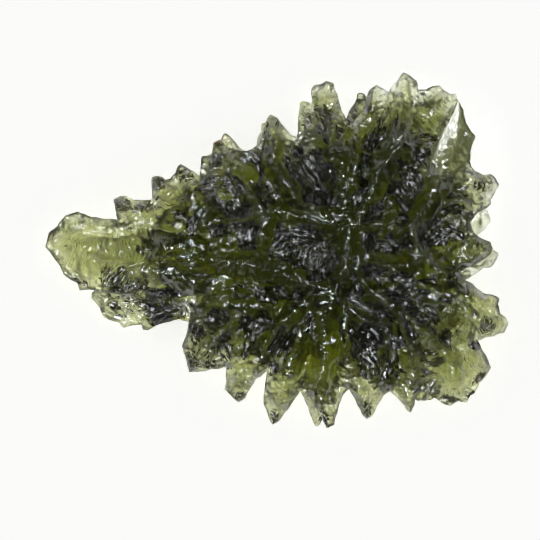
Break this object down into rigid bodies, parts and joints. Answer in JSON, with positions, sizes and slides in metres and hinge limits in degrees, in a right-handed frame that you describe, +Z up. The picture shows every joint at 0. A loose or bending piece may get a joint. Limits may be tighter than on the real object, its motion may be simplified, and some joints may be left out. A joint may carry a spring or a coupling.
{
  "type": "moldavite",
  "caption": "Leaf-shaped green glass stone, deeply etched into ridges that run from a raised hub out to sharp rim teeth; lies flat as a collector's specimen.",
  "frame": {"origin": "middle of the stone's box in plan, at the surface that its three worn feet stand on", "axes": "+X from the pointed lobe to the broad toothed end, +Y across the stone, +Z up out of the ridged side"},
  "size_m": [0.0462, 0.0356, 0.0104],
  "materials": {
    "glass": "glossy, deeply etched natural glass, see-through at thin edges"
  },
  "bodies": {
    "root": {"moldavite": "glass"}
  },
  "joints": []
}
